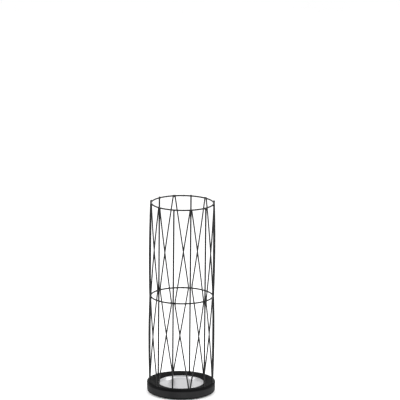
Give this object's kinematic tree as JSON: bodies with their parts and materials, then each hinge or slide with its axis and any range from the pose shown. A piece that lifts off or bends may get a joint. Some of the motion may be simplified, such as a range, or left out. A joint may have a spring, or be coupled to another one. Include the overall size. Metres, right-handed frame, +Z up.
{
  "type": "umbrella stand",
  "caption": "Round wire-cage umbrella stand with two rings, upright posts and tall diamonds of bent wire on a weighted base with a lift-out drip tray.",
  "frame": {"origin": "centre of the foot pad's underside, on the floor", "axes": "+Z up along the cage's centre line; -Y towards the viewer of the front"},
  "size_m": [0.1686, 0.1686, 0.48],
  "materials": {
    "black_wire": "black powder coat, satin",
    "black_base": "black enamel over a cast weight, semi-gloss",
    "tray_steel": "pressed stainless sheet, fine brushed",
    "foot_rubber": "matte anti-slip rubber sheet"
  },
  "bodies": {
    "stand": {"weighted_base": "black_base", "foot_pad": "foot_rubber", "middle_ring": "black_wire", "top_ring": "black_wire", "post_1": "black_wire", "post_2": "black_wire", "post_3": "black_wire", "post_4": "black_wire", "post_5": "black_wire", "post_6": "black_wire", "diamond_1_left_wire": "black_wire", "diamond_1_right_wire": "black_wire", "diamond_2_left_wire": "black_wire", "diamond_2_right_wire": "black_wire", "diamond_3_left_wire": "black_wire", "diamond_3_right_wire": "black_wire", "diamond_4_left_wire": "black_wire", "diamond_4_right_wire": "black_wire", "diamond_5_left_wire": "black_wire", "diamond_5_right_wire": "black_wire", "diamond_6_left_wire": "black_wire", "diamond_6_right_wire": "black_wire"},
    "tray": {"drip_tray": "tray_steel"}
  },
  "joints": [
    {"name": "tray_lift", "type": "slide", "parent": "stand", "child": "tray", "axis": [0, 0, 1], "range_m": [0, 0.5]}
  ]
}
